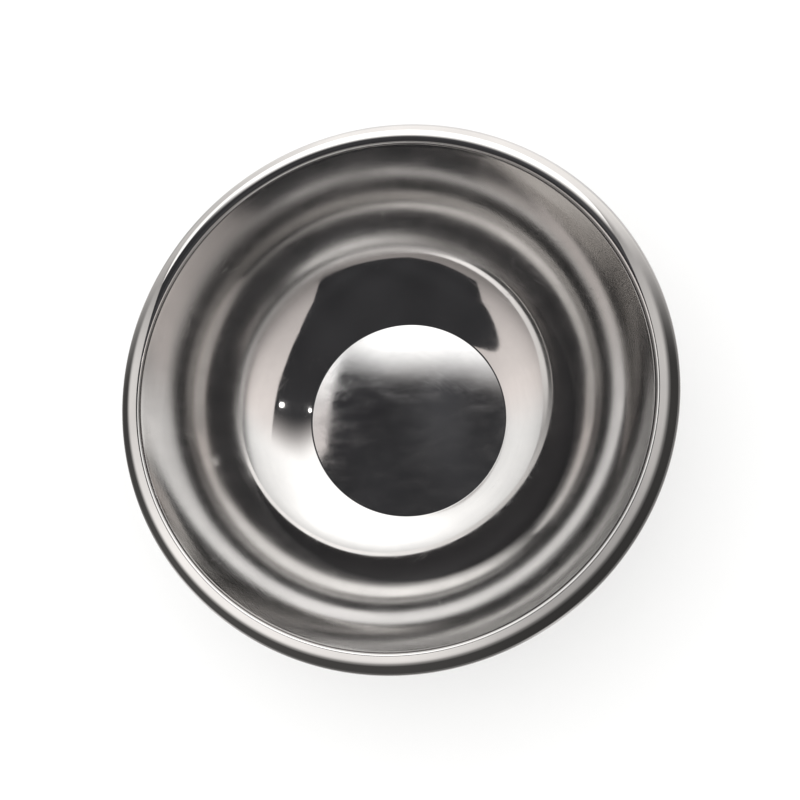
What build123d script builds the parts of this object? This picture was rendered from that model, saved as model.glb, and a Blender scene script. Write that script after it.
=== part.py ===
from build123d import *

# Double-walled stainless steel shaving bowl, 125 mm across the rolled rim and 52 mm tall.
#
# The bowl stands on z = 0 with its axis on +Z and its origin at the centre of the standing plane.
# It is an assembly of pressed, turned and moulded rings on one axis:
#
# inner_bowl      deep-drawn liner with a crowned floor, its edge curled over and under as the rolled rim
# outer_shell     deep-drawn outer skin, its edge flanged outwards and trapped inside the rolled rim
# rim_seal        sealing ring inside the rolled rim, under the outer skin's flange
# foot_ring       pressed channel ring welded under the outer skin
# non_slip_ring   rubber ring in the foot ring's channel, on which the bowl stands
# vent_plug       headed plug that closes the vent of the space between the two skins

import os
from math import atan2, comb, cos, degrees, hypot, pi, radians, sin, sqrt

os.makedirs("parts", exist_ok=True)

# ---------------------------------------------------------------- driving dimensions, mm
RIM_R = 62.5            # outside of the rolled rim
SHEET = 0.8             # both skins, after drawing

FLOOR_R = 27.2          # crease round the crowned floor
FLOOR_Z = 7.0           # height of that crease, inside surface
FLOOR_RISE = 1.0        # how far the floor's centre stands above the crease
CREASE_R = 0.9          # inside radius of the crease
DEPTH = 43.7            # from the crease up to the level where the wall meets the rim
WALL_R = 57.6           # inside of the wall at that level
WALL_SLOPE = 28.0       # slope of the wall where it leaves the crease, degrees
WALL_LOW = 11.6         # how far the wall follows that slope
WALL_TURN = (53.48, -31.7)  # pole that rounds the wall, from the axis and from the rim's level
WALL_END = 84.0         # slope of the wall where it enters the rim, degrees
WALL_HIGH = 12.3        # how far down the wall stays near that slope

BEAD_C = 60.0           # crown of the rolled rim, from the axis
BEAD_TOP = 1.75         # its height over the level where the rim meets the wall
BEAD_OUT_Z = 0.15       # top of the rim's upright outer edge
BEAD_LOW = 1.9          # depth of the curl under that level
BEAD_LOW_R = 1.5        # outside radius of the curl's lower corner
BEAD_LOW_Z = -0.4       # centre of that corner
CURL_END = 59.45        # the curl's cut edge, from the axis

NECK_GAP = 0.055        # between the two skins under the rolled rim
SHELL_BASE_Z = 3.4      # underside of the outer skin's flat base
SHELL_BASE_R = 28.5     # where that flat base ends
SHELL_LOW = 17.0        # fullness of the outer skin near its base
SHELL_HIGH = 22.0       # fullness of the outer skin near its neck
FLANGE_UP = 0.6         # upper face of the outer skin's flange, over the wall's upper end
FLANGE_END = 61.1       # outer edge of that flange, inside the rim
FLANGE_BEND = 0.3       # inside radius of the flange's bend

SEAL_R = 0.43           # section radius of the sealing ring
SEAL_MAJOR = 60.6
SEAL_DROP = 0.65        # sealing ring's centre under the wall's upper end

FOOT_OUT = 28.0         # foot ring, outside radius
FOOT_IN = 23.2          # foot ring, inside radius
FOOT_LIP_Z = 0.6        # lower edges of the foot ring
FOOT_SHEET = 0.8
FOOT_CORNER = 1.1       # outside radius of the channel's two top corners

GRIP_CLEAR = 0.05       # rubber to channel wall, each side
GRIP_EDGE = 0.45        # rounding of the rubber's standing edges
GRIP_GROOVE = 0.35      # section radius of the two grooves in its standing face

VENT_R = 1.6            # vent hole in the outer skin
VENT_CLEAR = 0.02
PLUG_HEAD_R = 3.0
PLUG_HEAD_H = 0.55
PLUG_TAIL_R = 2.3
PLUG_TAIL_H = 0.7

# ---------------------------------------------------------------- derived positions
BEAD_Z = FLOOR_Z + DEPTH                # level where the rolled rim is widest


def bezier_point(ctrl, t):
    n = len(ctrl) - 1
    weights = [comb(n, i) * (1 - t) ** (n - i) * t**i for i in range(n + 1)]
    return tuple(sum(w * p[k] for w, p in zip(weights, ctrl)) for k in (0, 1))


def bezier_slope(ctrl, t):
    hodograph = [(q[0] - p[0], q[1] - p[1]) for p, q in zip(ctrl, ctrl[1:])]
    dx, dy = bezier_point(hodograph, t)
    n = hypot(dx, dy)
    return dx / n, dy / n


def offset_points(ctrl, distance, n=16):
    """Points beside a Bezier curve, on its right for a positive distance."""
    found = []
    for i in range(n + 1):
        t = i / n
        x, y = bezier_point(ctrl, t)
        dx, dy = bezier_slope(ctrl, t)
        found.append((x + distance * dy, y - distance * dx))
    return found


def on_circle(cx, cy, r, angle):
    return (cx + r * cos(radians(angle)), cy + r * sin(radians(angle)))


def dome_middle(radius, height):
    """Halfway along a shallow dome's section, from its rim to its crown on the axis."""
    ball = (radius**2 + height**2) / (2 * height)
    middle = (pi / 2 + atan2(ball - height, radius)) / 2
    return ball * cos(middle), ball * sin(middle) - (ball - height)


# ---------------------------------------------------------------- inner bowl's section
# The floor is a shallow cap, crowned upwards. Its sphere's centre lies on the axis, below it.
cap_r = (FLOOR_R**2 + FLOOR_RISE**2) / (2 * FLOOR_RISE)
cap_z = FLOOR_Z + FLOOR_RISE - cap_r

# The crease is an arc that touches the cap and the start of the wall.
slope = radians(WALL_SLOPE)
ux, uy = cos(slope), sin(slope)
px, py = FLOOR_R - CREASE_R * uy, FLOOR_Z + CREASE_R * ux - cap_z
half = px * ux + py * uy
along = -half + sqrt(half * half - (px * px + py * py - (cap_r + CREASE_R) ** 2))
crease_x, crease_z = px + along * ux, py + along * uy + cap_z
cap_end_angle = degrees(atan2(crease_z - cap_z, crease_x))
crease_mid_angle = (180 + cap_end_angle + 270 + WALL_SLOPE) / 2
wall_start = (FLOOR_R + along * ux, FLOOR_Z + along * uy)

# The wall is one smooth curve from the crease into the rolled rim.
ex, ey = cos(radians(WALL_END)), sin(radians(WALL_END))
wall = [
    wall_start,
    (wall_start[0] + WALL_LOW * ux, wall_start[1] + WALL_LOW * uy),
    (WALL_TURN[0], BEAD_Z + WALL_TURN[1]),
    (WALL_R - WALL_HIGH * ex, BEAD_Z - WALL_HIGH * ey),
    (WALL_R, BEAD_Z),
]
wall_back = offset_points(wall, SHEET)

# The rim rises from the wall to its crown and rolls over to its outer edge, as two quarter ellipses.
ROUND = 0.5523          # handle length that makes a Bezier curve round
crown_z = BEAD_Z + BEAD_TOP
edge_z = BEAD_Z + BEAD_OUT_Z
rise = [
    (WALL_R, BEAD_Z),
    (WALL_R + ROUND * BEAD_TOP * ex, BEAD_Z + ROUND * BEAD_TOP * ey),
    (BEAD_C - ROUND * (BEAD_C - WALL_R), crown_z),
    (BEAD_C, crown_z),
]
roll = [
    (BEAD_C, crown_z),
    (BEAD_C + ROUND * (RIM_R - BEAD_C), crown_z),
    (RIM_R, edge_z + ROUND * (crown_z - edge_z)),
    (RIM_R, edge_z),
]
rise_back = offset_points(rise, SHEET, 8)
roll_back = offset_points(roll, SHEET, 8)
low_x, low_z = RIM_R - BEAD_LOW_R, BEAD_Z + BEAD_LOW_Z

with BuildPart() as inner_bowl:
    with BuildSketch(Plane.XZ):
        with BuildLine():
            # inside surface, from the axis outwards
            ThreePointArc(
                (0, cap_z + cap_r),
                on_circle(0, cap_z, cap_r, (90 + cap_end_angle) / 2),
                on_circle(0, cap_z, cap_r, cap_end_angle),
            )
            ThreePointArc(
                on_circle(0, cap_z, cap_r, cap_end_angle),
                on_circle(crease_x, crease_z, CREASE_R, crease_mid_angle),
                wall_start,
            )
            Bezier(*wall)
            Bezier(*rise)
            Bezier(*roll)
            Line((RIM_R, edge_z), (RIM_R, low_z))
            ThreePointArc(
                (RIM_R, low_z),
                on_circle(low_x, low_z, BEAD_LOW_R, -45),
                (low_x, low_z - BEAD_LOW_R),
            )
            Line((low_x, low_z - BEAD_LOW_R), (CURL_END, low_z - BEAD_LOW_R))
            # the curl's cut edge, then back along the sheet's other face
            Line((CURL_END, low_z - BEAD_LOW_R), (CURL_END, low_z - BEAD_LOW_R + SHEET))
            Line((CURL_END, low_z - BEAD_LOW_R + SHEET), (low_x, low_z - BEAD_LOW_R + SHEET))
            ThreePointArc(
                (low_x, low_z - BEAD_LOW_R + SHEET),
                on_circle(low_x, low_z, BEAD_LOW_R - SHEET, -45),
                (RIM_R - SHEET, low_z),
            )
            Line((RIM_R - SHEET, low_z), (RIM_R - SHEET, edge_z))
            Spline(*reversed(roll_back), tangents=[(0, 1), (-1, 0)])
            Spline(*reversed(rise_back), tangents=[(-1, 0), (-ex, -ey)])
            Spline(*reversed(wall_back), tangents=[(-ex, -ey), (-ux, -uy)])
            ThreePointArc(
                wall_back[0],
                on_circle(crease_x, crease_z, CREASE_R + SHEET, crease_mid_angle),
                on_circle(0, cap_z, cap_r - SHEET, cap_end_angle),
            )
            ThreePointArc(
                on_circle(0, cap_z, cap_r - SHEET, cap_end_angle),
                on_circle(0, cap_z, cap_r - SHEET, (90 + cap_end_angle) / 2),
                (0, cap_z + cap_r - SHEET),
            )
            Line((0, cap_z + cap_r - SHEET), (0, cap_z + cap_r))
        make_face()
    revolve(axis=Axis.Z)

# ---------------------------------------------------------------- outer shell's section
neck_r = WALL_R + SHEET * ey + NECK_GAP + SHEET     # outside radius of the outer skin at its neck
neck_z = BEAD_Z - BEAD_LOW - 0.6
shell = [
    (SHELL_BASE_R, SHELL_BASE_Z),
    (SHELL_BASE_R + SHELL_LOW, SHELL_BASE_Z),
    (neck_r, neck_z - SHELL_HIGH),
    (neck_r, neck_z),
]
shell_back = offset_points(shell, -SHEET)
flange_up = BEAD_Z + FLANGE_UP
flange_low = flange_up - SHEET
bend_z = flange_low - FLANGE_BEND

with BuildPart() as outer_shell:
    with BuildSketch(Plane.XZ):
        with BuildLine():
            Line((VENT_R, SHELL_BASE_Z), (SHELL_BASE_R, SHELL_BASE_Z))
            Bezier(*shell)
            Line((neck_r, neck_z), (neck_r, bend_z))
            ThreePointArc(
                (neck_r, bend_z),
                on_circle(neck_r + FLANGE_BEND, bend_z, FLANGE_BEND, 135),
                (neck_r + FLANGE_BEND, flange_low),
            )
            Line((neck_r + FLANGE_BEND, flange_low), (FLANGE_END, flange_low))
            Line((FLANGE_END, flange_low), (FLANGE_END, flange_up))
            Line((FLANGE_END, flange_up), (neck_r + FLANGE_BEND, flange_up))
            ThreePointArc(
                (neck_r + FLANGE_BEND, flange_up),
                on_circle(neck_r + FLANGE_BEND, bend_z, FLANGE_BEND + SHEET, 135),
                (neck_r - SHEET, bend_z),
            )
            Line((neck_r - SHEET, bend_z), (neck_r - SHEET, neck_z))
            Spline(*reversed(shell_back), tangents=[(0, -1), (-1, 0)])
            Line((SHELL_BASE_R, SHELL_BASE_Z + SHEET), (VENT_R, SHELL_BASE_Z + SHEET))
            Line((VENT_R, SHELL_BASE_Z + SHEET), (VENT_R, SHELL_BASE_Z))
        make_face()
    revolve(axis=Axis.Z)

# ---------------------------------------------------------------- sealing ring
with BuildPart() as rim_seal:
    with BuildSketch(Plane.XZ):
        with Locations((SEAL_MAJOR, BEAD_Z - SEAL_DROP)):
            Circle(SEAL_R)
    revolve(axis=Axis.Z)

# ---------------------------------------------------------------- foot ring
foot_mid = (FOOT_OUT + FOOT_IN) / 2
foot_half = (FOOT_OUT - FOOT_IN) / 2
with BuildPart() as foot_ring:
    with BuildSketch(Plane.XZ) as channel:
        with Locations((foot_mid, (FOOT_LIP_Z + SHELL_BASE_Z) / 2)):
            Rectangle(2 * foot_half, SHELL_BASE_Z - FOOT_LIP_Z)
        fillet(channel.vertices().group_by(Axis.Y)[-1], FOOT_CORNER)
        with BuildLine():
            web = SHELL_BASE_Z - FOOT_SHEET
            inner_corner = FOOT_CORNER - FOOT_SHEET
            left, right = FOOT_IN + FOOT_SHEET, FOOT_OUT - FOOT_SHEET
            Line((left, FOOT_LIP_Z), (left, web - inner_corner))
            RadiusArc((left, web - inner_corner), (left + inner_corner, web), inner_corner)
            Line((left + inner_corner, web), (right - inner_corner, web))
            RadiusArc((right - inner_corner, web), (right, web - inner_corner), inner_corner)
            Line((right, web - inner_corner), (right, FOOT_LIP_Z))
            Line((right, FOOT_LIP_Z), (left, FOOT_LIP_Z))
        make_face(mode=Mode.SUBTRACT)
    revolve(axis=Axis.Z)

# ---------------------------------------------------------------- non-slip ring
grip_in = FOOT_IN + FOOT_SHEET + GRIP_CLEAR
grip_out = FOOT_OUT - FOOT_SHEET - GRIP_CLEAR
grip_top = SHELL_BASE_Z - FOOT_SHEET
with BuildPart() as non_slip_ring:
    with BuildSketch(Plane.XZ) as grip:
        with Locations(((grip_in + grip_out) / 2, grip_top / 2)):
            Rectangle(grip_out - grip_in, grip_top)
        fillet(grip.vertices().group_by(Axis.Y)[0], GRIP_EDGE)
        chamfer(grip.vertices().group_by(Axis.Y)[-1], inner_corner + 0.1)
        third = (grip_out - grip_in) / 3
        with Locations((grip_in + third, 0), (grip_out - third, 0)):
            Circle(GRIP_GROOVE, mode=Mode.SUBTRACT)
    revolve(axis=Axis.Z)

# ---------------------------------------------------------------- vent plug
shank = VENT_R - VENT_CLEAR
inside_z = SHELL_BASE_Z + SHEET
head_mid = dome_middle(PLUG_HEAD_R, PLUG_HEAD_H)
tail_mid = dome_middle(PLUG_TAIL_R, PLUG_TAIL_H)
with BuildPart() as vent_plug:
    with BuildSketch(Plane.XZ):
        with BuildLine():
            ThreePointArc(
                (0, SHELL_BASE_Z - PLUG_HEAD_H),
                (head_mid[0], SHELL_BASE_Z - head_mid[1]),
                (PLUG_HEAD_R, SHELL_BASE_Z),
            )
            Line((PLUG_HEAD_R, SHELL_BASE_Z), (shank, SHELL_BASE_Z))
            Line((shank, SHELL_BASE_Z), (shank, inside_z))
            Line((shank, inside_z), (PLUG_TAIL_R, inside_z))
            ThreePointArc(
                (PLUG_TAIL_R, inside_z),
                (tail_mid[0], inside_z + tail_mid[1]),
                (0, inside_z + PLUG_TAIL_H),
            )
            Line((0, inside_z + PLUG_TAIL_H), (0, SHELL_BASE_Z - PLUG_HEAD_H))
        make_face()
    revolve(axis=Axis.Z)

# ---------------------------------------------------------------- labels and files
pieces = {
    "inner_bowl": inner_bowl,
    "outer_shell": outer_shell,
    "rim_seal": rim_seal,
    "foot_ring": foot_ring,
    "non_slip_ring": non_slip_ring,
    "vent_plug": vent_plug,
}
for label, piece in pieces.items():
    piece.part.label = label
    export_step(piece.part, f"parts/{label}.step")

spaces = [
    min(hypot(a[0] - b[0], a[1] - b[1]) for b in offset_points(shell, -SHEET, 120))
    for a in offset_points(wall, SHEET, 20)[:19]
]
print("height", round(crown_z, 2), "mouth", round(2 * WALL_R, 2))
print("space between the skins, from the crease up:", [round(v, 2) for v in spaces])
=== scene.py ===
import math

import bpy
from mathutils import Matrix, Vector


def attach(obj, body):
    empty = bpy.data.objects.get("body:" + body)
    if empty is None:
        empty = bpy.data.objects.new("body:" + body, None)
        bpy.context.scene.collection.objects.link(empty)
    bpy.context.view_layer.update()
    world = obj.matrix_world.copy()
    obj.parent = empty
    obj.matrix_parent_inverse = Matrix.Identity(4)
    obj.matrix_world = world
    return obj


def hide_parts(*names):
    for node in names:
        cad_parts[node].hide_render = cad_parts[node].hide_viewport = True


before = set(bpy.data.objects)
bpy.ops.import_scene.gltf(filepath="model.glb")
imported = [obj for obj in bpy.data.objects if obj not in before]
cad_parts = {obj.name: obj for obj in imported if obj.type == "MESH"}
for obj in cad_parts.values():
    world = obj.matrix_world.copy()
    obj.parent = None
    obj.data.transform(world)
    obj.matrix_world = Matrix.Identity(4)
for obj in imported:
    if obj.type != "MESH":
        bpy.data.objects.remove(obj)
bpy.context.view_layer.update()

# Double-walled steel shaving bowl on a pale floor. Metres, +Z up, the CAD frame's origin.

scene = bpy.context.scene
MM = 0.001

# ---------------------------------------------------------------- sections, the CAD's own dimensions in mm
RIM_R, SHEET = 62.5, 0.8
FLOOR_R, FLOOR_Z, FLOOR_RISE, CREASE_R = 27.2, 7.0, 1.0, 0.9
DEPTH, WALL_R, WALL_SLOPE, WALL_LOW = 43.7, 57.6, 28.0, 11.6
WALL_TURN, WALL_END, WALL_HIGH = (53.48, -31.7), 84.0, 12.3
BEAD_C, BEAD_TOP, BEAD_OUT_Z, ROUND = 60.0, 1.75, 0.15, 0.5523
BEAD_LOW_R, BEAD_LOW_Z, BEAD_LOW, CURL_END = 1.5, -0.4, 1.9, 59.45
NECK_GAP, SHELL_BASE_Z, SHELL_BASE_R, SHELL_LOW, SHELL_HIGH = 0.055, 3.4, 28.5, 17.0, 22.0
FLANGE_UP, FLANGE_END, FLANGE_BEND = 0.6, 61.1, 0.3
FOOT_OUT, FOOT_IN, FOOT_LIP_Z, FOOT_SHEET, FOOT_CORNER = 28.0, 23.2, 0.6, 0.8, 1.1
GRIP_CLEAR, GRIP_EDGE, GRIP_GROOVE = 0.05, 0.45, 0.35
VENT_R, VENT_CLEAR, PLUG_HEAD_R, PLUG_HEAD_H, PLUG_TAIL_R, PLUG_TAIL_H = 1.6, 0.02, 3.0, 0.55, 2.3, 0.7
BEAD_Z = FLOOR_Z + DEPTH


def bezier(ctrl, t):
    """Point and unit tangent of a Bezier curve of any degree."""
    pts = [Vector(p) for p in ctrl]
    while len(pts) > 2:
        pts = [a.lerp(b, t) for a, b in zip(pts, pts[1:])]
    return pts[0].lerp(pts[1], t), (pts[1] - pts[0]).normalized()


class Section:
    """A closed lathe section. Travel keeps the metal on the left, so the outward side is on the right."""

    def __init__(self):
        self.edges = []

    def add(self, samples):
        for (p, n), (q, m) in zip(samples, samples[1:]):
            if (p - q).length > 1e-5:
                self.edges.append((p, n, q, m))
        return self

    def line(self, a, b, steps=1):
        a, b = Vector(a), Vector(b)
        d = (b - a).normalized()
        n = Vector((d.y, -d.x))
        return self.add([(a.lerp(b, i / steps), n) for i in range(steps + 1)])

    def curve(self, ctrl, steps, back=False, offset=0.0):
        """Along a Bezier curve, or back along it. offset moves it to the right of the forward direction."""
        out = []
        for i in range(steps + 1):
            t = i / steps
            p, d = bezier(ctrl, 1 - t if back else t)
            side = Vector((d.y, -d.x))
            out.append((p + side * offset, -side if back else side))
        return self.add(out)

    def arc(self, centre, radius, a0, a1, steps):
        c, out = Vector(centre), []
        turn = 1.0 if a1 > a0 else -1.0
        for i in range(steps + 1):
            a = math.radians(a0 + (a1 - a0) * i / steps)
            u = Vector((math.cos(a), math.sin(a)))
            out.append((c + u * radius, u * turn))
        return self.add(out)


def lathe(name, section, segments, materials, pick=None):
    """Turns a section round the axis into a closed mesh with exact normals."""
    edges = section.edges
    key = lambda p: (round(p.x, 4), round(p.y, 4))
    index, points = {}, []
    for p, _, q, _ in edges:
        for v in (p, q):
            if key(v) not in index:
                index[key(v)] = len(points)
                points.append(v)
    trig = [(math.cos(2 * math.pi * k / segments), math.sin(2 * math.pi * k / segments)) for k in range(segments)]
    rings, verts = [], []
    for p in points:
        if abs(p.x) < 1e-4:
            rings.append([len(verts)] * segments)
            verts.append((0.0, 0.0, p.y * MM))
        else:
            rings.append(list(range(len(verts), len(verts) + segments)))
            verts.extend((p.x * c * MM, p.x * s * MM, p.y * MM) for c, s in trig)
    faces, normals, slots = [], [], []
    for p, n, q, m in edges:
        a, b = rings[index[key(p)]], rings[index[key(q)]]
        which = pick(p, q, n) if pick else 0
        for k in range(segments):
            j = (k + 1) % segments
            (c0, s0), (c1, s1) = trig[k], trig[j]
            # seen from outside, with the section travelling up, this order is counter-clockwise
            quad = [
                (a[k], (n.x * c0, n.x * s0, n.y)),
                (a[j], (n.x * c1, n.x * s1, n.y)),
                (b[j], (m.x * c1, m.x * s1, m.y)),
                (b[k], (m.x * c0, m.x * s0, m.y)),
            ]
            if a[k] == a[j]:
                quad = [quad[0], quad[2], quad[3]]
            elif b[k] == b[j]:
                quad = [quad[0], quad[1], quad[2]]
            faces.append([v for v, _ in quad])
            normals.extend(x for _, x in quad)
            slots.append(which)
    mesh = bpy.data.meshes.new(name)
    mesh.from_pydata(verts, [], faces)
    for mat in materials:
        mesh.materials.append(mat)
    mesh.polygons.foreach_set("material_index", slots)
    mesh.polygons.foreach_set("use_smooth", [True] * len(faces))
    mesh.update()
    mesh.normals_split_custom_set(normals)
    obj = bpy.data.objects.new(name, mesh)
    scene.collection.objects.link(obj)
    return obj


# ---------------------------------------------------------------- material helpers
class Nodes:
    """A short way to write a node material."""

    def __init__(self, name):
        self.mat = bpy.data.materials.new(name)
        self.mat.use_nodes = True
        self.tree = self.mat.node_tree
        self.tree.nodes.clear()
        self.out = self.tree.nodes.new("ShaderNodeOutputMaterial")
        self.bsdf = self.tree.nodes.new("ShaderNodeBsdfPrincipled")
        self.tree.links.new(self.bsdf.outputs[0], self.out.inputs[0])
        self.place = self.tree.nodes.new("ShaderNodeTexCoord").outputs["Object"]

    def link(self, a, b):
        if isinstance(a, (int, float)):
            b.default_value = a
        elif isinstance(a, (tuple, list)):
            b.default_value = a
        else:
            self.tree.links.new(a, b)

    def math(self, op, a, b=0.0, clamp=False):
        n = self.tree.nodes.new("ShaderNodeMath")
        n.operation, n.use_clamp = op, clamp
        self.link(a, n.inputs[0])
        self.link(b, n.inputs[1])
        return n.outputs[0]

    def vec(self, x, y, z):
        n = self.tree.nodes.new("ShaderNodeCombineXYZ")
        for v, s in zip((x, y, z), n.inputs):
            self.link(v, s)
        return n.outputs[0]

    def xyz(self):
        n = self.tree.nodes.new("ShaderNodeSeparateXYZ")
        self.link(self.place, n.inputs[0])
        return n.outputs

    def scaled(self, vector, scale):
        n = self.tree.nodes.new("ShaderNodeVectorMath")
        n.operation = "MULTIPLY"
        self.link(vector, n.inputs[0])
        n.inputs[1].default_value = scale
        return n.outputs[0]

    def noise(self, vector, scale, detail=2.0, rough=0.5, w=None):
        n = self.tree.nodes.new("ShaderNodeTexNoise")
        n.noise_dimensions = "3D" if w is None else "4D"
        self.link(vector, n.inputs["Vector"])
        if w is not None:
            self.link(w, n.inputs["W"])
        n.inputs["Scale"].default_value = scale
        n.inputs["Detail"].default_value = detail
        n.inputs["Roughness"].default_value = rough
        return n.outputs["Fac"]

    def fit(self, value, a, b, c, d, smooth=False):
        n = self.tree.nodes.new("ShaderNodeMapRange")
        n.interpolation_type = "SMOOTHSTEP" if smooth else "LINEAR"
        self.link(value, n.inputs["Value"])
        for k, v in zip(("From Min", "From Max", "To Min", "To Max"), (a, b, c, d)):
            n.inputs[k].default_value = v
        return n.outputs[0]

    def blend(self, fac, a, b):
        n = self.tree.nodes.new("ShaderNodeMix")
        n.data_type = "RGBA"
        self.link(fac, n.inputs[0])
        for value, socket in ((a, n.inputs[6]), (b, n.inputs[7])):
            self.link(tuple(value) + (1.0,) if isinstance(value, tuple) else value, socket)
        return n.outputs[2]

    def bump(self, height, distance, normal=None, strength=1.0):
        n = self.tree.nodes.new("ShaderNodeBump")
        n.inputs["Strength"].default_value = strength
        n.inputs["Distance"].default_value = distance
        self.link(height, n.inputs["Height"])
        if normal is not None:
            self.link(normal, n.inputs["Normal"])
        return n.outputs[0]


def steel(name, light, dark, rough_low, rough_high, wave, turned, fine, scratch, haze=0.0):
    """Polished steel: slow waves left by drawing, turning marks round the axis, small scratches, wiped patches.

    wave, turned, fine and scratch are bump heights in metres. haze dulls the polish outside the wall's turn.
    """
    m = Nodes(name)
    x, y, z = m.xyz()
    radius = m.math("SQRT", m.math("ADD", m.math("MULTIPLY", x, x), m.math("MULTIPLY", y, y)))
    safe = m.math("MAXIMUM", radius, 1e-5)
    ca, sa = m.math("DIVIDE", x, safe), m.math("DIVIDE", y, safe)

    # turning marks: fine across the radius, long round the axis
    def rings(across, round_):
        return m.noise(
            m.vec(m.math("MULTIPLY", radius, across), m.math("MULTIPLY", z, across), m.math("MULTIPLY", ca, round_)),
            1.0, 3.0, 0.6, m.math("MULTIPLY", sa, round_),
        )

    coarse, close = rings(900.0, 3.0), rings(2600.0, 7.0)
    slow = m.noise(m.place, 26.0, 1.0, 0.4)
    patches = m.noise(m.place, 60.0, 4.0, 0.55)
    smears = m.noise(m.scaled(m.place, (1.0, 2.4, 1.0)), 110.0, 3.0, 0.6)

    # scratches: thin crossings of stretched noise, in two directions, and only here and there
    def hairs(turn, scale):
        r = m.tree.nodes.new("ShaderNodeVectorRotate")
        r.rotation_type = "Z_AXIS"
        r.inputs["Angle"].default_value = turn
        m.link(m.place, r.inputs["Vector"])
        band = m.noise(m.scaled(r.outputs[0], (70.0, 1500.0, 300.0)), 1.0, 1.0, 0.5)
        line = m.fit(m.math("ABSOLUTE", m.math("SUBTRACT", band, 0.5)), 0.0, 0.012, 1.0, 0.0)
        keep = m.fit(m.noise(m.scaled(r.outputs[0], (1.0, 1.0, 1.0)), scale, 2.0, 0.5), 0.56, 0.64, 0.0, 1.0)
        return m.math("MULTIPLY", line, keep)

    hair = m.math("ADD", hairs(0.7, 95.0), hairs(2.3, 120.0), clamp=True)

    colour = m.blend(m.fit(patches, 0.35, 0.65, 0.0, 1.0), dark, light)
    colour = m.blend(m.fit(coarse, 0.3, 0.7, 0.0, 0.35), colour, dark)
    m.link(colour, m.bsdf.inputs["Base Color"])

    rough = m.fit(smears, 0.3, 0.72, rough_low, rough_high)
    rough = m.math("ADD", rough, m.fit(close, 0.35, 0.65, -0.008, 0.012))
    rough = m.math("ADD", rough, m.math("MULTIPLY", hair, 0.10))
    if haze:
        cloth = m.fit(m.noise(m.place, 34.0, 3.0, 0.55), 0.32, 0.68, 0.75, 1.25)
        turn = m.fit(radius, 0.0436, 0.0448, 0.0, haze, smooth=True)
        turn = m.math("MULTIPLY", turn, m.fit(z, (BEAD_Z - 1.2) * MM, (BEAD_Z + 0.1) * MM, 1.0, 0.30, smooth=True))
        rough = m.math("ADD", rough, m.math("MULTIPLY", turn, cloth))
    m.link(m.math("MAXIMUM", rough, 0.012), m.bsdf.inputs["Roughness"])

    n = m.bump(slow, wave)
    n = m.bump(coarse, turned, n)
    n = m.bump(close, fine, n)
    n = m.bump(hair, -scratch, n)
    m.link(n, m.bsdf.inputs["Normal"])
    m.bsdf.inputs["Metallic"].default_value = 1.0
    return m.mat


def rubber(name, light, dark, grain, rough_low, rough_high):
    m = Nodes(name)
    x, y, z = m.xyz()
    radius = m.math("SQRT", m.math("ADD", m.math("MULTIPLY", x, x), m.math("MULTIPLY", y, y)))
    speck = m.noise(m.place, 5200.0, 3.0, 0.6)
    cloud = m.noise(m.place, 260.0, 4.0, 0.6)
    dust = m.fit(m.noise(m.place, 900.0, 3.0, 0.65), 0.60, 0.78, 0.0, 0.55)
    flow = m.noise(m.vec(m.math("MULTIPLY", radius, 1800.0), m.math("MULTIPLY", z, 1800.0), 0.0), 1.0, 2.0, 0.5)
    colour = m.blend(m.fit(cloud, 0.3, 0.7, 0.0, 1.0), dark, light)
    colour = m.blend(dust, colour, (0.16, 0.155, 0.15))
    m.link(colour, m.bsdf.inputs["Base Color"])
    m.link(m.fit(cloud, 0.3, 0.7, rough_low, rough_high), m.bsdf.inputs["Roughness"])
    n = m.bump(flow, grain * 0.6)
    n = m.bump(speck, grain, n)
    m.link(n, m.bsdf.inputs["Normal"])
    m.bsdf.inputs["Specular IOR Level"].default_value = 0.42
    return m.mat


WALL_STEEL = steel("steel_polished", (0.678, 0.665, 0.651), (0.615, 0.604, 0.593), 0.030, 0.060, 3.0e-5, 6.0e-7, 1.2e-7, 6.0e-7, 0.085)
FLOOR_STEEL = steel("steel_floor", (0.635, 0.628, 0.620), (0.545, 0.540, 0.538), 0.050, 0.180, 1.4e-5, 8.0e-7, 3.0e-7, 1.4e-6)
SKIN_STEEL = steel("steel_skin", (0.650, 0.640, 0.628), (0.590, 0.582, 0.573), 0.060, 0.130, 2.5e-5, 9.0e-7, 3.0e-7, 6.0e-7)
SATIN_STEEL = steel("steel_satin", (0.600, 0.592, 0.580), (0.520, 0.515, 0.507), 0.220, 0.340, 1.0e-5, 1.6e-6, 6.0e-7, 8.0e-7)
GRIP_RUBBER = rubber("rubber_grip", (0.048, 0.048, 0.050), (0.030, 0.030, 0.031), 1.2e-5, 0.62, 0.85)
SEAL_RUBBER = rubber("rubber_seal", (0.110, 0.110, 0.108), (0.075, 0.075, 0.074), 4.0e-6, 0.48, 0.66)

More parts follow.
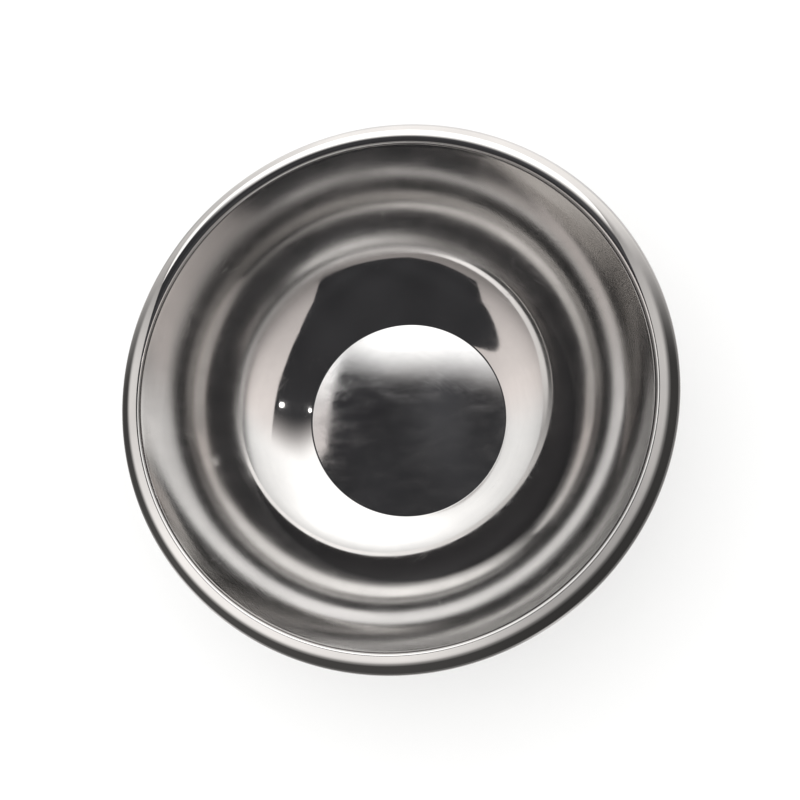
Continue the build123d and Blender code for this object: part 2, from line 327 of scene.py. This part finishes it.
# ---------------------------------------------------------------- inner bowl with its rolled rim
cap_r = (FLOOR_R**2 + FLOOR_RISE**2) / (2 * FLOOR_RISE)
cap_z = FLOOR_Z + FLOOR_RISE - cap_r
slope = math.radians(WALL_SLOPE)
ux, uy = math.cos(slope), math.sin(slope)
px, py = FLOOR_R - CREASE_R * uy, FLOOR_Z + CREASE_R * ux - cap_z
half = px * ux + py * uy
along = -half + math.sqrt(half * half - (px * px + py * py - (cap_r + CREASE_R) ** 2))
crease = (px + along * ux, py + along * uy + cap_z)
cap_end = math.degrees(math.atan2(crease[1] - cap_z, crease[0]))
wall_start = (FLOOR_R + along * ux, FLOOR_Z + along * uy)
ex, ey = math.cos(math.radians(WALL_END)), math.sin(math.radians(WALL_END))
wall = [
    wall_start,
    (wall_start[0] + WALL_LOW * ux, wall_start[1] + WALL_LOW * uy),
    (WALL_TURN[0], BEAD_Z + WALL_TURN[1]),
    (WALL_R - WALL_HIGH * ex, BEAD_Z - WALL_HIGH * ey),
    (WALL_R, BEAD_Z),
]
crown_z = BEAD_Z + BEAD_TOP
edge_z = BEAD_Z + BEAD_OUT_Z
rise = [
    (WALL_R, BEAD_Z),
    (WALL_R + ROUND * BEAD_TOP * ex, BEAD_Z + ROUND * BEAD_TOP * ey),
    (BEAD_C - ROUND * (BEAD_C - WALL_R), crown_z),
    (BEAD_C, crown_z),
]
roll = [
    (BEAD_C, crown_z),
    (BEAD_C + ROUND * (RIM_R - BEAD_C), crown_z),
    (RIM_R, edge_z + ROUND * (crown_z - edge_z)),
    (RIM_R, edge_z),
]
low = (RIM_R - BEAD_LOW_R, BEAD_Z + BEAD_LOW_Z)
under = low[1] - BEAD_LOW_R

bowl = Section()
bowl.arc((0, cap_z), cap_r - SHEET, 90, cap_end, 16)
bowl.arc(crease, CREASE_R + SHEET, 180 + cap_end, 270 + WALL_SLOPE, 8)
bowl.curve(wall, 56, offset=SHEET)
bowl.curve(rise, 14, offset=SHEET)
bowl.curve(roll, 14, offset=SHEET)
bowl.line((RIM_R - SHEET, edge_z), (RIM_R - SHEET, low[1]), 2)
bowl.arc(low, BEAD_LOW_R - SHEET, 0, -90, 8)
bowl.line((low[0], under + SHEET), (CURL_END, under + SHEET), 2)
bowl.line((CURL_END, under + SHEET), (CURL_END, under))
bowl.line((CURL_END, under), (low[0], under), 2)
bowl.arc(low, BEAD_LOW_R, -90, 0, 14)
bowl.line((RIM_R, low[1]), (RIM_R, edge_z), 3)
bowl.curve(roll, 26, back=True)
bowl.curve(rise, 26, back=True)
bowl.curve(wall, 110, back=True)
bowl.arc(crease, CREASE_R, 270 + WALL_SLOPE, 180 + cap_end, 14)
bowl.arc((0, cap_z), cap_r, cap_end, 90, 22)


def bowl_part(p, q, n):
    inside = n.y > 0.7 and max(p.x, q.x) < crease[0] + 0.02
    return 1 if inside else 0


inner = lathe("bowl_inner", bowl, 512, [WALL_STEEL, FLOOR_STEEL], bowl_part)
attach(inner, "root")
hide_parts("inner_bowl")

# ---------------------------------------------------------------- outer skin
neck_r = WALL_R + SHEET * ey + NECK_GAP + SHEET
neck_z = BEAD_Z - BEAD_LOW - 0.6
shell = [
    (SHELL_BASE_R, SHELL_BASE_Z),
    (SHELL_BASE_R + SHELL_LOW, SHELL_BASE_Z),
    (neck_r, neck_z - SHELL_HIGH),
    (neck_r, neck_z),
]
flange_up = BEAD_Z + FLANGE_UP
flange_low = flange_up - SHEET
bend = (neck_r + FLANGE_BEND, flange_low - FLANGE_BEND)
skin = Section()
skin.line((VENT_R, SHELL_BASE_Z), (SHELL_BASE_R, SHELL_BASE_Z), 6)
skin.curve(shell, 90)
skin.line((neck_r, neck_z), (neck_r, bend[1]), 2)
skin.arc(bend, FLANGE_BEND, 180, 90, 6)
skin.line((bend[0], flange_low), (FLANGE_END, flange_low))
skin.line((FLANGE_END, flange_low), (FLANGE_END, flange_up))
skin.line((FLANGE_END, flange_up), (bend[0], flange_up))
skin.arc(bend, FLANGE_BEND + SHEET, 90, 180, 8)
skin.line((neck_r - SHEET, bend[1]), (neck_r - SHEET, neck_z), 2)
skin.curve(shell, 60, back=True, offset=-SHEET)
skin.line((SHELL_BASE_R, SHELL_BASE_Z + SHEET), (VENT_R, SHELL_BASE_Z + SHEET), 4)
skin.line((VENT_R, SHELL_BASE_Z + SHEET), (VENT_R, SHELL_BASE_Z))
outer = lathe("bowl_skin", skin, 384, [SKIN_STEEL])
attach(outer, "root")
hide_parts("outer_shell")

# ---------------------------------------------------------------- foot ring and its rubber
web = SHELL_BASE_Z - FOOT_SHEET
tight = FOOT_CORNER - FOOT_SHEET
lip = 0.12
foot = Section()
left, right = FOOT_IN, FOOT_OUT
foot.line((left + FOOT_SHEET, FOOT_LIP_Z + lip), (left + FOOT_SHEET, web - tight), 2)
foot = Section()
foot.line((left + lip, FOOT_LIP_Z), (left + FOOT_SHEET - lip, FOOT_LIP_Z))
foot.arc((left + FOOT_SHEET - lip, FOOT_LIP_Z + lip), lip, -90, 0, 3)
foot.line((left + FOOT_SHEET, FOOT_LIP_Z + lip), (left + FOOT_SHEET, web - tight), 2)
foot.arc((left + FOOT_SHEET + tight, web - tight), tight, 180, 90, 5)
foot.line((left + FOOT_SHEET + tight, web), (right - FOOT_SHEET - tight, web), 2)
foot.arc((right - FOOT_SHEET - tight, web - tight), tight, 90, 0, 5)
foot.line((right - FOOT_SHEET, web - tight), (right - FOOT_SHEET, FOOT_LIP_Z + lip), 2)
foot.arc((right - FOOT_SHEET + lip, FOOT_LIP_Z + lip), lip, 180, 270, 3)
foot.line((right - FOOT_SHEET + lip, FOOT_LIP_Z), (right - lip, FOOT_LIP_Z))
foot.arc((right - lip, FOOT_LIP_Z + lip), lip, -90, 0, 3)
foot.line((right, FOOT_LIP_Z + lip), (right, SHELL_BASE_Z - FOOT_CORNER), 2)
foot.arc((right - FOOT_CORNER, SHELL_BASE_Z - FOOT_CORNER), FOOT_CORNER, 0, 90, 10)
foot.line((right - FOOT_CORNER, SHELL_BASE_Z), (left + FOOT_CORNER, SHELL_BASE_Z), 2)
foot.arc((left + FOOT_CORNER, SHELL_BASE_Z - FOOT_CORNER), FOOT_CORNER, 90, 180, 10)
foot.line((left, SHELL_BASE_Z - FOOT_CORNER), (left, FOOT_LIP_Z + lip), 2)
foot.arc((left + lip, FOOT_LIP_Z + lip), lip, 180, 270, 3)
foot_piece = lathe("foot_channel", foot, 320, [SATIN_STEEL])
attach(foot_piece, "root")
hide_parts("foot_ring")

g_in, g_out = FOOT_IN + FOOT_SHEET + GRIP_CLEAR, FOOT_OUT - FOOT_SHEET - GRIP_CLEAR
cut = tight + 0.1
third = (g_out - g_in) / 3
grip = Section()
grip.line((g_in + GRIP_EDGE, 0), (g_in + third - GRIP_GROOVE, 0), 1)
grip.arc((g_in + third, 0), GRIP_GROOVE, 180, 0, 10)
grip.line((g_in + third + GRIP_GROOVE, 0), (g_out - third - GRIP_GROOVE, 0), 1)
grip.arc((g_out - third, 0), GRIP_GROOVE, 180, 0, 10)
grip.line((g_out - third + GRIP_GROOVE, 0), (g_out - GRIP_EDGE, 0), 1)
grip.arc((g_out - GRIP_EDGE, GRIP_EDGE), GRIP_EDGE, -90, 0, 8)
grip.line((g_out, GRIP_EDGE), (g_out, web - cut), 2)
grip.line((g_out, web - cut), (g_out - cut, web))
grip.line((g_out - cut, web), (g_in + cut, web), 1)
grip.line((g_in + cut, web), (g_in, web - cut))
grip.line((g_in, web - cut), (g_in, GRIP_EDGE), 2)
grip.arc((g_in + GRIP_EDGE, GRIP_EDGE), GRIP_EDGE, 180, 270, 8)
grip_piece = lathe("foot_grip", grip, 320, [GRIP_RUBBER])
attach(grip_piece, "root")
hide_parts("non_slip_ring")

# ---------------------------------------------------------------- vent plug, a slotless low button
shank = VENT_R - VENT_CLEAR
inside_z = SHELL_BASE_Z + SHEET


def dome(section, radius, height, z, up, steps):
    ball = (radius**2 + height**2) / (2 * height)
    spread = math.degrees(math.atan2(radius, ball - height))
    if up:
        return section.arc((0, z + height - ball), ball, 90 - spread, 90, steps)
    return section.arc((0, z - height + ball), ball, 270, 270 + spread, steps)


plug = Section()
dome(plug, PLUG_HEAD_R, PLUG_HEAD_H, SHELL_BASE_Z, False, 14)
plug.line((PLUG_HEAD_R, SHELL_BASE_Z), (shank, SHELL_BASE_Z), 2)
plug.line((shank, SHELL_BASE_Z), (shank, inside_z), 2)
plug.line((shank, inside_z), (PLUG_TAIL_R, inside_z), 2)
dome(plug, PLUG_TAIL_R, PLUG_TAIL_H, inside_z, True, 10)
plug_piece = lathe("vent_button", plug, 96, [SATIN_STEEL])
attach(plug_piece, "root")
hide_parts("vent_plug")

# ---------------------------------------------------------------- the sealing ring stays the CAD's own
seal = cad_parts["rim_seal"]
if not seal.data.materials:
    seal.data.materials.append(SEAL_RUBBER)
for s in seal.material_slots:
    s.material = SEAL_RUBBER

# ---------------------------------------------------------------- studio: pale floor and a soft light tent
R = RIM_R * MM
RIM_LEVEL = BEAD_Z * MM


def emitter(name, verts, faces, glow, diffuse=False):
    """A self-lit card with a colour at each corner, which shows only in reflections."""
    mesh = bpy.data.meshes.new(name)
    mesh.from_pydata(verts, [], faces)
    layer = mesh.color_attributes.new(name="glow", type="FLOAT_COLOR", domain="POINT")
    for i, c in enumerate(glow):
        layer.data[i].color = (c[0], c[1], c[2], 1.0)
    mat = bpy.data.materials.new(name)
    mat.use_nodes = True
    t = mat.node_tree
    t.nodes.clear()
    attr = t.nodes.new("ShaderNodeAttribute")
    attr.attribute_name = "glow"
    emit = t.nodes.new("ShaderNodeEmission")
    out = t.nodes.new("ShaderNodeOutputMaterial")
    t.links.new(attr.outputs["Color"], emit.inputs["Color"])
    t.links.new(emit.outputs[0], out.inputs[0])
    mesh.materials.append(mat)
    obj = bpy.data.objects.new(name, mesh)
    scene.collection.objects.link(obj)
    obj.visible_camera = False
    obj.visible_diffuse = diffuse
    obj.visible_shadow = False
    obj.visible_transmission = False
    obj.visible_volume_scatter = False
    return obj


def smooth(a, b, v):
    t = min(1.0, max(0.0, (v - a) / (b - a)))
    return t * t * (3 - 2 * t)


def mix(a, b, t):
    return tuple(p + (q - p) * t for p, q in zip(a, b))


def grid(name, corners, nu, nv, colour):
    """A four-cornered card, corners counter-clockwise from below left, coloured by colour(u, v, point)."""
    c = [Vector(p) for p in corners]
    verts, glow = [], []
    for j in range(nv + 1):
        for i in range(nu + 1):
            u, v = i / nu, j / nv
            p = c[0].lerp(c[1], u).lerp(c[3].lerp(c[2], u), v)
            verts.append(p)
            glow.append(colour(u, v, p))
    faces = [
        (j * (nu + 1) + i, j * (nu + 1) + i + 1, (j + 1) * (nu + 1) + i + 1, (j + 1) * (nu + 1) + i)
        for j in range(nv)
        for i in range(nu)
    ]
    return emitter(name, verts, faces, glow)


TENT = 1.0          # the tent's ceiling over the rim, in rim radii
WIDE = 3.7          # its half width
WARM, COOL, WHITE = (1.0, 0.93, 0.905), (0.95, 0.97, 1.0), (1.0, 0.998, 0.995)


def tent(u, v, p):
    """Brightness of the tent's ceiling. The soft key light is at +Y, cream cloth on both sides."""
    x, y = p.x / R, p.y / R
    side = mix(WARM, WHITE, smooth(0.2, 1.0, y))
    base = 0.62 + 0.62 * smooth(-1.6, 0.8, y)
    if y < -1.6:
        base = 0.62 + 0.14 * smooth(-1.6, -2.6, y) * smooth(2.0, 0.0, abs(x))
    far = smooth(1.7, 3.2, math.hypot(x, y - 0.6)) * (1.0 - 0.55 * smooth(0.6, 2.2, y))
    base *= (1.0 - 0.48 * far) * (1.0 - 0.55 * smooth(2.1, 2.9, x))
    key = math.exp(-(((x + 0.15) / 1.15) ** 2)) * smooth(0.45, 0.95, y) * smooth(3.1, 1.9, y)
    glow = 0.95 * base + 1.0 * key
    return tuple(glow * s for s in side)


grid(
    "tent_ceiling",
    [(-WIDE * R, -WIDE * R, RIM_LEVEL + TENT * R), (WIDE * R, -WIDE * R, RIM_LEVEL + TENT * R),
     (WIDE * R, WIDE * R, RIM_LEVEL + TENT * R), (-WIDE * R, WIDE * R, RIM_LEVEL + TENT * R)],
    110, 110, tent,
)

# the tent's open front, where the room behind it is dark; its far edge fades into the key light
LEFT = [(-2.10, -0.69), (-1.82, -1.16), (-1.31, -1.62), (-0.78, -1.34), (-0.36, -1.38), (-0.20, -1.42), (-0.10, -1.20), (0.06, -1.03), (0.29, -1.02), (0.56, -0.99), (0.90, -0.92), (1.30, -0.80)]
RIGHT = [(-2.10, 1.00), (-1.08, 0.78), (-0.56, 0.80), (-0.21, 0.89), (0.05, 0.98), (0.45, 1.08), (0.74, 1.17), (1.30, 1.32)]


def along_table(table, y):
    for (y0, x0), (y1, x1) in zip(table, table[1:]):
        if y <= y1:
            return x0 + (x1 - x0) * max(0.0, (y - y0) / (y1 - y0))
    return table[-1][1]


def room(x, y):
    haze = 0.045 * math.exp(-(((x - 0.12) / 0.22) ** 2)) * smooth(-0.7, 0.5, y)
    dark = 0.046 + haze + 0.006 * math.sin(7.0 * x + 2.0) * math.sin(5.0 * y)
    edge = 0.90 - 0.24 * (x + 0.1) + 0.05 * math.sin(4.2 * x + 0.5)
    t = smooth(edge - 0.32, edge + 0.24, y)
    return mix((dark, dark, dark * 1.07), tent(0, 0, Vector((x * R, y * R, 0))), t)


z_front = RIM_LEVEL + TENT * R - 0.0015
NU, NV = 64, 120
front_verts, front_glow = [], []
for j in range(NV + 1):
    y = -2.10 + 3.40 * j / NV
    x0, x1 = along_table(LEFT, y), along_table(RIGHT, y)
    for i in range(NU + 1):
        x = x0 + (x1 - x0) * i / NU
        front_verts.append((x * R, y * R, z_front))
        front_glow.append(room(x, y))
front_faces = [
    (j * (NU + 1) + i, j * (NU + 1) + i + 1, (j + 1) * (NU + 1) + i + 1, (j + 1) * (NU + 1) + i)
    for j in range(NV)
    for i in range(NU)
]
emitter("tent_front", front_verts, front_faces, front_glow)


def skirt(name, radius, z0, z1, n, colour):
    verts, glow, faces = [], [], []
    rows = 24
    for j in range(rows + 1):
        for i in range(n):
            a = 2 * math.pi * i / n
            z = z0 + (z1 - z0) * j / rows
            verts.append((radius * math.cos(a), radius * math.sin(a), z))
            glow.append(colour(a, z))
    for j in range(rows):
        for i in range(n):
            k = (i + 1) % n
            faces.append((j * n + k, j * n + i, (j + 1) * n + i, (j + 1) * n + k))
    return emitter(name, verts, faces, glow)


def panel(a):
    """Soft upright strips of lighter cloth round the studio, below the rim's level."""
    near = [abs((a - c + math.pi) % (2 * math.pi) - math.pi) for c in (0.62, 2.60, 3.80, 5.30)]
    return max(math.exp(-((d / w) ** 2)) for d, w in zip(near, (0.26, 0.20, 0.30, 0.16)))


def low_sides(a, z):
    """Near the horizon the studio is dim, a little lighter to the right."""
    up = (z - RIM_LEVEL) / R
    right = 0.5 + 0.5 * math.cos(a)
    dim = 0.13 + 0.10 * right + 1.0 * smooth(0.55, 0.95, math.sin(a))
    t = smooth(0.30, 0.95, up)
    v = dim + (0.45 - 0.22 * right + 0.6 * smooth(0.3, 0.9, math.sin(a)) - dim) * t
    v += 0.60 * panel(a) * smooth(0.30, -0.20, up)
    return (v, v * 0.985, v * 0.975)


skirt("tent_sides", WIDE * R * 0.98, 0.0, RIM_LEVEL + TENT * R, 160, low_sides)

# the table around the white sheet is darker, as the steel sees it: a ring just over the floor
ring_verts, ring_faces, ring_glow = [], [], []
for j in range(33):
    for i in range(128):
        a = 2 * math.pi * i / 128
        r = (1.22 + (WIDE - 1.24) * j / 32) * R
        ring_verts.append((r * math.cos(a), r * math.sin(a), 0.0006))
        light = smooth(0.45, 0.95, math.sin(a))
        v = 0.22 + 0.71 * smooth(3.5, 1.1, r / R) + 0.40 * panel(a) * smooth(1.3, 2.4, r / R)
        v = max(v, 0.95 * light)
        ring_glow.append((v, v * 0.99, v * 0.98))
for j in range(32):
    for i in range(128):
        k = (i + 1) % 128
        ring_faces.append((j * 128 + i, (j + 1) * 128 + i, (j + 1) * 128 + k, j * 128 + k))
emitter("tent_table", ring_verts, ring_faces, ring_glow)

# a narrow collar of cloth close over the rim, seen by the bead: one tone inside its crown, one outside
INSIDE = [(0, 0.80), (45, 0.36), (90, 0.15), (135, 0.26), (180, 0.98), (225, 1.40), (270, 1.22), (315, 0.52), (360, 0.80)]
OUTSIDE = [(0, 0.06), (45, 1.30), (90, 1.45), (135, 0.80), (180, 0.07), (225, 0.10), (270, 0.08), (315, 0.05), (360, 0.06)]


def round_table(table, angle):
    angle = math.degrees(angle) % 360
    for (a0, v0), (a1, v1) in zip(table, table[1:]):
        if angle <= a1:
            return v0 + (v1 - v0) * smooth(a0, a1, angle)
    return table[-1][1]


collar_verts, collar_faces, collar_glow = [], [], []
for j in range(41):
    for i in range(160):
        a = 2 * math.pi * i / 160
        inner = 0.82 + 0.20 * smooth(0.15, 0.70, math.sin(a))
        r = (inner + 1.3 * (j / 40) ** 1.5) * R
        collar_verts.append((r * math.cos(a) - 0.022 * R, r * math.sin(a) + 0.03 * R, RIM_LEVEL + 0.12 * R))
        t = smooth(0.965, 1.03, r / R)
        v = round_table(INSIDE, a) * (1 - t) + round_table(OUTSIDE, a) * t
        collar_glow.append((v, v * 0.975, v * 0.96))
for j in range(40):
    for i in range(160):
        k = (i + 1) % 160
        collar_faces.append((j * 160 + i, (j + 1) * 160 + i, (j + 1) * 160 + k, j * 160 + k))
emitter("tent_collar", collar_verts, collar_faces, collar_glow)

# a small bare lamp, seen only as sparks in the steel
bpy.ops.mesh.primitive_uv_sphere_add(segments=24, ring_count=12, radius=0.024 * R, location=(0.86 * R, 0.24 * R, z_front - 0.003))
lamp = bpy.context.object
lamp.name = "tent_lamp"
lamp_mat = bpy.data.materials.new("tent_lamp")
lamp_mat.use_nodes = True
lamp_mat.node_tree.nodes.clear()
e = lamp_mat.node_tree.nodes.new("ShaderNodeEmission")
e.inputs["Color"].default_value = (1.0, 0.99, 0.98, 1.0)
e.inputs["Strength"].default_value = 6.0
o = lamp_mat.node_tree.nodes.new("ShaderNodeOutputMaterial")
lamp_mat.node_tree.links.new(e.outputs[0], o.inputs[0])
lamp.data.materials.append(lamp_mat)
lamp.visible_camera = False
lamp.visible_diffuse = False
lamp.visible_shadow = False

# floor
floor_mesh = bpy.data.meshes.new("floor")
S = 4.0
floor_mesh.from_pydata([(-S, -S, 0), (S, -S, 0), (S, S, 0), (-S, S, 0)], [], [(0, 1, 2, 3)])
floor = bpy.data.objects.new("floor", floor_mesh)
scene.collection.objects.link(floor)
fm = Nodes("floor_pale")
fm.link(fm.blend(fm.noise(fm.place, 3.0, 3.0), (0.93, 0.93, 0.93), (0.95, 0.95, 0.945)), fm.bsdf.inputs["Base Color"])
fm.bsdf.inputs["Roughness"].default_value = 0.9
fm.bsdf.inputs["Specular IOR Level"].default_value = 0.1
floor_mesh.materials.append(fm.mat)

world = bpy.data.worlds.new("studio")
scene.world = world
world.use_nodes = True
bg = world.node_tree.nodes["Background"]
bg.inputs["Color"].default_value = (1.0, 0.998, 0.995, 1.0)
bg.inputs["Strength"].default_value = 1.22

# ---------------------------------------------------------------- camera
cam_data = bpy.data.cameras.new("camera")
cam = bpy.data.objects.new("camera", cam_data)
scene.collection.objects.link(cam)
cam_data.sensor_width = 36.0
cam_data.lens = 33.34
cam_data.shift_x = 0.0875
cam_data.shift_y = 0.0150
cam_data.clip_start = 0.005
cam_data.clip_end = 20.0
right_v = Vector((0.96775, 0.0, -0.25192))
down_v = Vector((-0.05101, -0.97929, -0.19594))
ahead_v = Vector((-0.24670, 0.20247, -0.94770))
turn = Matrix((right_v, -down_v, -ahead_v)).transposed()
cam.matrix_world = Matrix.Translation(Vector((0.490 * R, -0.643 * R, RIM_LEVEL + 2.525 * R))) @ turn.to_4x4()
scene.camera = cam

scene.view_settings.view_transform = "Standard"
scene.view_settings.look = "None"
scene.cycles.max_bounces = 16
scene.cycles.glossy_bounces = 14
scene.cycles.diffuse_bounces = 4
